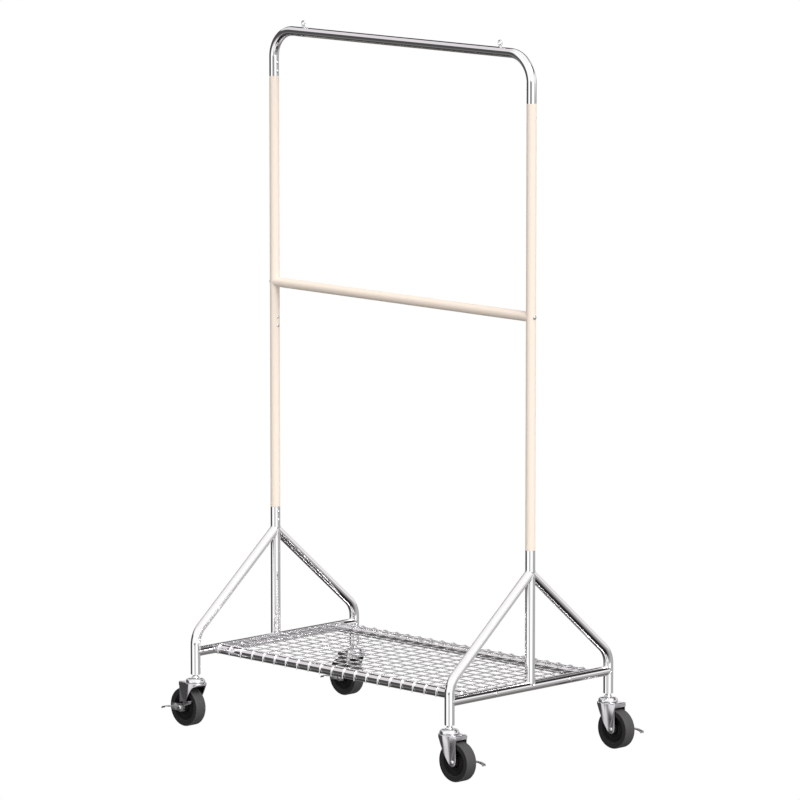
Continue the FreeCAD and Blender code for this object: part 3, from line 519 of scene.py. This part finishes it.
def make_shelf():
    reach = STRIP_FACE - STRIP_THICKNESS
    for end_name, end in ENDS.items():
        y = end * SHELF_TUBE_Y
        build("chrome_shelf_tube_" + end_name,
              [tube([(-reach, y, SIDE_RAIL_Z), (reach, y, SIDE_RAIL_Z)])[0]],
              "chrome", "rack", ["shelf_tube_" + end_name])
    wires = []
    wire_end = STRIP_FACE - STRIP_THICKNESS / 2
    for i in range(LONG_WIRES):
        y = (i - (LONG_WIRES - 1) / 2) * LONG_PITCH
        wires.append(bar([(-wire_end, y, LONG_WIRE_Z), (wire_end, y, LONG_WIRE_Z)], WIRE))
    ring = TUBE + WIRE
    steps = 10
    for i in range(CROSS_WIRES):
        x = (i - (CROSS_WIRES - 1) / 2) * CROSS_PITCH
        front = [Vector((x, -SHELF_TUBE_Y - ring, SIDE_RAIL_Z - HOOK_DROP))]
        for k in range(steps + 1):
            angle = math.pi / 2 * (1 - k / steps)
            front.append(Vector((x, -SHELF_TUBE_Y - ring * math.sin(angle),
                                 SIDE_RAIL_Z + ring * math.cos(angle))))
        rear = [Vector((x, -p.y, p.z)) for p in reversed(front)]
        wires.append(bar(front + rear, WIRE))
    build("wire_mesh", wires, "bright_wire", "rack", ["shelf_mesh", "shelf_wire_hooks"])
    for side_name in SIDES:
        softened_copy("end_strip_" + side_name, "shelf_strip_" + side_name, 0.0005, "zinc", "rack")
    softened_copy("flanged_nuts", "shelf_nuts", 0.0004, "bright_steel", "rack")


# ------------------------------------------------------------------ screws, bolts and eye bolts

def cross_head(radius, height):
    """A domed screw head with a cross recess; its seat is at the local origin."""
    rim = 0.3 * height
    dome = [(0.0, 0.0), (radius, 0.0), (radius, rim)]
    steps = 8
    for i in range(1, steps + 1):
        angle = math.pi / 2 * i / steps
        dome.append((radius * math.cos(angle), rim + (height - rim) * math.sin(angle)))
    vertices, faces, _ = lathe(dome, 32)
    mesh = bpy.data.meshes.new("head")
    mesh.from_pydata([tuple(v) for v in vertices], [], faces)
    worker = bmesh.new()
    worker.from_mesh(mesh)
    weld(worker, 1e-7)
    worker.to_mesh(mesh)
    worker.free()
    head = bpy.data.objects.new("head", mesh)
    bpy.context.collection.objects.link(head)

    slot_length, slot_width = 1.15 * radius, 0.24 * radius
    cutters = []
    for size in ((slot_width, slot_length, height), (slot_length, slot_width, height)):
        worker = bmesh.new()
        bmesh.ops.create_cube(worker, size=1.0)
        bmesh.ops.scale(worker, vec=size, verts=worker.verts)
        bmesh.ops.translate(worker, vec=(0, 0, 1.05 * height), verts=worker.verts)
        cutter_mesh = bpy.data.meshes.new("slot")
        worker.to_mesh(cutter_mesh)
        worker.free()
        cutter = bpy.data.objects.new("slot", cutter_mesh)
        bpy.context.collection.objects.link(cutter)
        cutters.append(cutter)
        carve = head.modifiers.new("carve", "BOOLEAN")
        carve.operation = "DIFFERENCE"
        carve.solver = "EXACT"
        carve.object = cutter
    bpy.context.view_layer.update()
    carved = bpy.data.meshes.new_from_object(head.evaluated_get(bpy.context.evaluated_depsgraph_get()))
    result = ([v.co.copy() for v in carved.vertices], [tuple(p.vertices) for p in carved.polygons])
    for spare in [head] + cutters:
        bpy.data.objects.remove(spare)
    return result


def shank(radius, length):
    """A plain bolt shank below its head's seat."""
    part = lathe([(0, 0), (radius, 0), (radius, -length), (0, -length)], 24)
    return part[0], part[1]


def make_fixings():
    small = cross_head(*SCREW_HEAD)
    large = cross_head(*BOLT_HEAD)
    screws = []
    for side in SIDES.values():
        for joint, way in ((TOP_JOINT, 1), (MIDDLE_JOINT, -1), (BOTTOM_JOINT, -1)):
            for offset in SCREW_OFFSETS:
                seat = turned_to(X_AXIS * -side, (side * STRIP_FACE, 0, joint + way * offset))
                screws.append(moved(small, seat))
                screws.append(moved(shank(*SCREW_SHANK), seat))
    build("cross_head_screws", screws, "bright_steel", "rack", ["joint_screws"], sharp=30)
    bar_bolts, shelf_bolts = [], []
    for side in SIDES.values():
        face = side * (HALF_WIDTH + TUBE)
        seat = turned_to(X_AXIS * side, (face, 0, CROSSBAR_Z))
        bar_bolts += [moved(large, seat), moved(shank(*CROSSBAR_SHANK), seat)]
        for end in ENDS.values():
            seat = turned_to(X_AXIS * side, (face, end * SHELF_BOLT_Y, SIDE_RAIL_Z))
            shelf_bolts += [moved(large, seat), moved(shank(*SHELF_SHANK), seat)]
    build("crossbar_bolt_pair", bar_bolts, "bright_steel", "rack", ["crossbar_bolts"], sharp=30)
    build("shelf_bolt_set", shelf_bolts, "bright_steel", "rack", ["shelf_bolts"], sharp=30)


def make_eye_bolts():
    for side_name, side in SIDES.items():
        circle = [Vector((math.cos(a), 0, math.sin(a))) * EYE_RADIUS
                  for a in (2 * math.pi * k / 48 for k in range(48))]
        ring = bar(circle, EYE_WIRE, 20, closed=True)
        base = TUBE + RAIL_Z - EYE_Z
        collar_top = base + EYE_COLLAR_HEIGHT
        collar = lathe(softened([(0, base), (EYE_COLLAR, base), (EYE_COLLAR, base + 0.0016),
                                 (0.0042, collar_top), (EYE_WIRE, collar_top),
                                 (EYE_WIRE, -EYE_RADIUS), (0, -EYE_RADIUS)], 0.0004), 48)
        foot = RAIL_Z - EYE_Z
        below = lathe([(0, foot), (EYE_WIRE, foot), (EYE_WIRE, base), (0, base)], 24)
        place = Matrix.Translation((side * EYE_X, 0, EYE_Z))
        parts = [moved(ring, place), moved(collar[:2], place), moved(below[:2], place)]
        build("ring_bolt_" + side_name, parts, "bright_steel", "rack", ["eye_bolt_" + side_name])


# ------------------------------------------------------------------ casters

def stem_profile():
    """The fixed upper half of the swivel, as (radius, height above the floor) points.

    It goes down the stem and its flared collar, out over the bearing dome, back up inside it,
    and down round the lower race.
    """
    stem = [
        (0, STEM_TOP), (STEM_RADIUS - 0.001, STEM_TOP), (STEM_RADIUS, STEM_TOP - 0.001),
        (STEM_RADIUS, 0.1355),
    ]
    collar = [(0.0068, 0.1340), (0.0100, 0.1300), (0.0105, 0.1290)]
    dome = [
        (0.0165, 0.1286), (0.0205, 0.1272), (0.0232, 0.1248), (0.0246, 0.1215),
        (DOME_RADIUS, DOME_RIM),
    ]
    inside = [
        (DOME_RADIUS - 0.0025, DOME_RIM), (DOME_RADIUS - 0.003, 0.1220), (0.0200, DOME_INSIDE),
        (STEM_RADIUS, DOME_INSIDE),
    ]
    race = [
        (STEM_RADIUS, RACE_TOP), (RACE_RADIUS, RACE_TOP), (RACE_RADIUS - 0.0015, RACE_FOOT),
        (0, RACE_FOOT),
    ]
    return stem + collar + dome + inside + race


def flipped(profile):
    """A (radius, height) profile mirrored top to bottom, in reverse order."""
    return [(radius, -height) for radius, height in reversed(profile)]


def tyre_parts():
    """The tyre about the local Z axis: two grooved sides and the tread."""
    shoulder = (WHEEL_RADIUS - 0.0024, TYRE_HALF)
    groove_floor = TYRE_HALF - GROOVE_DEPTH
    half_side = [
        (CORE_RADIUS, CORE_HALF), (CORE_RADIUS + 0.0008, TYRE_HALF - 0.0008),
        (CORE_RADIUS + 0.002, TYRE_HALF), (GROOVE_INSIDE, TYRE_HALF),
        (GROOVE_INSIDE + 0.0005, groove_floor), (GROOVE_OUTSIDE - 0.0005, groove_floor),
        (GROOVE_OUTSIDE, TYRE_HALF), shoulder,
    ]
    half_tread = [
        shoulder, (WHEEL_RADIUS - 0.0008, TYRE_HALF - 0.0007), (WHEEL_RADIUS, TYRE_HALF - 0.0022),
    ]
    side = softened(half_side, 0.0006)
    tread = softened(half_tread + flipped(half_tread), 0.001)
    return [lathe(side, 128), lathe(flipped(side), 128), lathe(tread, 128, index=1)]


def core_part():
    """The dished wheel centre about the local Z axis: hub, ribbed web and rim."""
    hub_step = HUB_HALF - 0.0008
    hub = [
        (AXLE_BORE, HUB_HALF), (0.0095, HUB_HALF), (0.0100, hub_step), (0.0112, hub_step),
        (0.0130, HUB_HALF - 0.0012), (0.0140, 0.0076),
    ]
    web = [
        (0.0180, WEB_HALF), (0.0185, RIB_HALF), (0.0200, RIB_HALF), (0.0205, WEB_HALF),
        (0.0270, WEB_HALF - 0.0001),
    ]
    rim = [(0.0290, 0.0085), (0.0302, 0.0110), (0.0310, CORE_HALF), (CORE_RADIUS, CORE_HALF)]
    half = softened(hub + web + rim, 0.0007)
    ring = flipped(half) + half
    return lathe(ring + ring[:1], 128)


def make_casters():
    tyre = tyre_parts()
    core = core_part()
    stem = lathe(softened(stem_profile(), 0.0012), 96)
    for corner, (side, end) in CORNERS.items():
        foot = Matrix.Translation((side * HALF_WIDTH, end * HALF_DEPTH, 0))
        facing = foot if side > 0 else foot @ Matrix.Rotation(math.pi, 4, "Z")
        hub = facing @ Matrix.Translation((TRAIL, 0, WHEEL_RADIUS))
        on_axle = hub @ Matrix.Rotation(-math.pi / 2, 4, "X")
        build("swivel_head_" + corner, [moved(stem[:2], foot)], "zinc", "rack",
              ["stem_" + corner], [BRIGHT])
        build("rubber_tyre_" + corner, [moved(part, on_axle) for part in tyre], "tyre_rubber",
              "wheel_" + corner, ["tyre_" + corner], [TYRE_SIDE, TYRE_TREAD_WEAR_AND_LIGHT], sharp=45)
        build("moulded_core_" + corner, [moved(core, on_axle)], "black_plastic",
              "wheel_" + corner, ["wheel_core_" + corner])
        softened_copy("pressed_fork_" + corner, "fork_" + corner, 0.0005, "zinc", "caster_" + corner)
        softened_copy("axle_bolt_" + corner, "axle_" + corner, 0.0003, "bright_steel",
                      "caster_" + corner)
        softened_copy("foot_lever_" + corner, "brake_lever_" + corner, 0.0004, "zinc",
                      "lever_" + corner, [LEVER_FINISH])


# ------------------------------------------------------------------ studio

KEY_ENERGY = 1.9
KEY_SPREAD = math.radians(24)
KEY_COLOUR = (1.0, 0.985, 0.96)
KEY_BEARING = math.radians(-8)
KEY_HEIGHT = math.radians(42)
FLOOR_REACH = 12.0
FLOOR_GAP = 0.0005
CAMERA_LENS = 299.8
CAMERA_PLACE = (11.7869, -11.7638, 3.4548)
CAMERA_DIP = math.radians(8.83)
CAMERA_TURN = math.radians(45.06)


def paint(tree, below, colour, factor):
    """Lay a colour over what is below by a factor socket."""
    made = tree.nodes.new("ShaderNodeMix")
    made.data_type = "RGBA"
    link(tree, factor, made.inputs["Factor"])
    link(tree, below, made.inputs["A"])
    made.inputs["B"].default_value = (*colour, 1)
    return made.outputs["Result"]


def make_studio():
    """Soft light: a pale room with light and dark cards in it, a key lamp and a white floor."""
    make_room()
    make_key_lamp()
    make_floor()


def make_room():
    """The room that the plating reflects; the camera itself sees plain white behind the rack."""
    world = bpy.data.worlds.new("studio")
    bpy.context.scene.world = world
    tree = new_tree(world)
    direction = tree.nodes.new("ShaderNodeTexCoord").outputs["Generated"]
    split = tree.nodes.new("ShaderNodeSeparateXYZ")
    link(tree, direction, split.inputs[0])
    x, y, height = split.outputs
    half = math.sqrt(0.5)
    rightward = calc(tree, "MULTIPLY", calc(tree, "ADD", x, y), half)
    nearward = calc(tree, "MULTIPLY", calc(tree, "SUBTRACT", x, y), half)
    bearing = calc(tree, "ARCTAN2", rightward, nearward)
    degrees = calc(tree, "MULTIPLY", bearing, 180 / math.pi)

    near_floor = tree.nodes.new("ShaderNodeRGB")
    near_floor.outputs[0].default_value = (0.20, 0.19, 0.185, 1)
    far_floor = (0.42, 0.41, 0.41)
    walls = (0.82, 0.79, 0.81)
    colour = paint(tree, near_floor.outputs[0], far_floor, ramp_up(tree, height, -0.52, -0.32))
    colour = paint(tree, colour, walls, ramp_up(tree, height, -0.04, 0.04))

    def card(shade, sides, levels, side_blur=4, level_blur=0.04):
        """Lay a card over the room so far: its tone, bearings in degrees and sines of elevation.

        Bearing 0 is on the camera's side of the rack, and bearings grow to the right.
        """
        cover = calc(tree, "MULTIPLY", between(tree, degrees, *sides, side_blur),
                     between(tree, height, *levels, level_blur))
        return paint(tree, colour, (shade, shade, shade), cover)

    # bright wall behind the camera, and the ceiling
    colour = card(1.10, (-92, 64), (0.0, 2.0))
    colour = card(1.05, (-200, 200), (0.84, 2.0))
    # floor towards the camera: a light sheet with a dark near edge
    colour = card(0.95, (-70, 12), (-0.62, -0.2))
    colour = card(0.02, (-84, 70), (-2.0, -0.64))
    colour = card(0.90, (-20, 8), (-0.88, -0.3))
    # dark flag on the left, over a dark floor
    colour = card(0.08, (-200, -81), (-0.34, 0.34))
    colour = card(0.17, (-150, -86), (-0.54, -0.34))
    colour = card(0.05, (-156, -80), (-2.0, -0.56))
    # bright strip below the horizon, with a grey object before it
    colour = card(1.20, (-79, 60), (-0.24, 0.0), 3, 0.03)
    colour = card(0.30, (-40, 6), (-0.15, -0.02), 8, 0.02)
    colour = card(0.42, (-24, 2), (-0.40, -0.15), 4, 0.02)
    # backdrop: a dark top edge above a bright sheet
    colour = card(0.03, (-182, -146), (0.37, 0.72), 3, 0.02)
    colour = card(1.05, (160, 200), (-0.10, 0.34))
    colour = card(1.05, (-200, -160), (-0.02, 0.34))
    # right side: a light window, grey floor strips and dark flags above
    colour = card(1.00, (70, 110), (-0.10, 0.22), 6, 0.03)
    colour = card(0.60, (96, 172), (-0.46, -0.28))
    colour = card(0.46, (60, 130), (-0.30, -0.10), 4, 0.02)
    colour = card(0.02, (82, 116), (0.30, 0.66))
    colour = card(0.18, (112, 150), (0.56, 0.80))
    colour = card(0.10, (148, 178), (0.40, 0.74))
    colour = card(0.60, (70, 200), (-2.0, -0.86))

    pattern = tree.nodes.new("ShaderNodeBackground")
    link(tree, colour, pattern.inputs["Color"])
    plain = tree.nodes.new("ShaderNodeBackground")
    plain.inputs["Color"].default_value = (1, 1, 1, 1)
    choose = tree.nodes.new("ShaderNodeMixShader")
    link(tree, tree.nodes.new("ShaderNodeLightPath").outputs["Is Camera Ray"], choose.inputs[0])
    link(tree, pattern.outputs[0], choose.inputs[1])
    link(tree, plain.outputs[0], choose.inputs[2])
    output = tree.nodes.new("ShaderNodeOutputWorld")
    link(tree, choose.outputs[0], output.inputs["Surface"])


def make_key_lamp():
    lamp = bpy.data.lights.new("key", "SUN")
    lamp.energy = KEY_ENERGY
    lamp.angle = KEY_SPREAD
    lamp.color = KEY_COLOUR
    key = bpy.data.objects.new("key", lamp)
    bpy.context.collection.objects.link(key)
    towards = Vector((math.cos(KEY_BEARING) * math.cos(KEY_HEIGHT),
                      math.sin(KEY_BEARING) * math.cos(KEY_HEIGHT), math.sin(KEY_HEIGHT)))
    key.rotation_euler = towards.to_track_quat("Z", "Y").to_euler()


def make_floor():
    """A plain white floor just below the tyres, which the rack doesn't reflect."""
    floor_mesh = bpy.data.meshes.new("floor")
    reach = FLOOR_REACH
    floor_mesh.from_pydata([(-reach, -reach, 0), (reach, -reach, 0), (reach, reach, 0),
                            (-reach, reach, 0)], [], [(0, 1, 2, 3)])
    white = bpy.data.materials.new("pale_floor")
    floor_tree = new_tree(white)
    glow = floor_tree.nodes.new("ShaderNodeEmission")
    glow.inputs["Color"].default_value = (1, 1, 1, 1)
    shown = floor_tree.nodes.new("ShaderNodeOutputMaterial")
    link(floor_tree, glow.outputs[0], shown.inputs["Surface"])
    floor_mesh.materials.append(white)
    floor = bpy.data.objects.new("floor", floor_mesh)
    floor.location.z = -FLOOR_GAP
    bpy.context.collection.objects.link(floor)
    floor.visible_glossy = False
    floor.visible_diffuse = False


def make_camera():
    lens = bpy.data.cameras.new("camera")
    lens.lens = CAMERA_LENS
    lens.sensor_width = 36.0
    lens.clip_end = 60.0
    camera = bpy.data.objects.new("camera", lens)
    bpy.context.collection.objects.link(camera)
    camera.location = CAMERA_PLACE
    camera.rotation_euler = (math.radians(90) - CAMERA_DIP, 0, CAMERA_TURN)
    bpy.context.scene.camera = camera
    bpy.context.scene.view_settings.view_transform = "Standard"


def finish_carried_nodes():
    """Every CAD node that still shows gets the finish of its slot."""
    slots = {row["node"]: row["material_slot"] for row in frame["record"]["subparts"]}
    for node, item in frame["nodes"].items():
        item.data.materials.clear()
        item.data.materials.append(FINISHES[slots[node]])
        item.data.shade_smooth()
        item.data.set_sharp_from_angle(angle=math.radians(30))


make_rail_and_posts()
make_base_frames()
make_shelf()
make_fixings()
make_eye_bolts()
make_casters()
finish_carried_nodes()
make_studio()
make_camera()
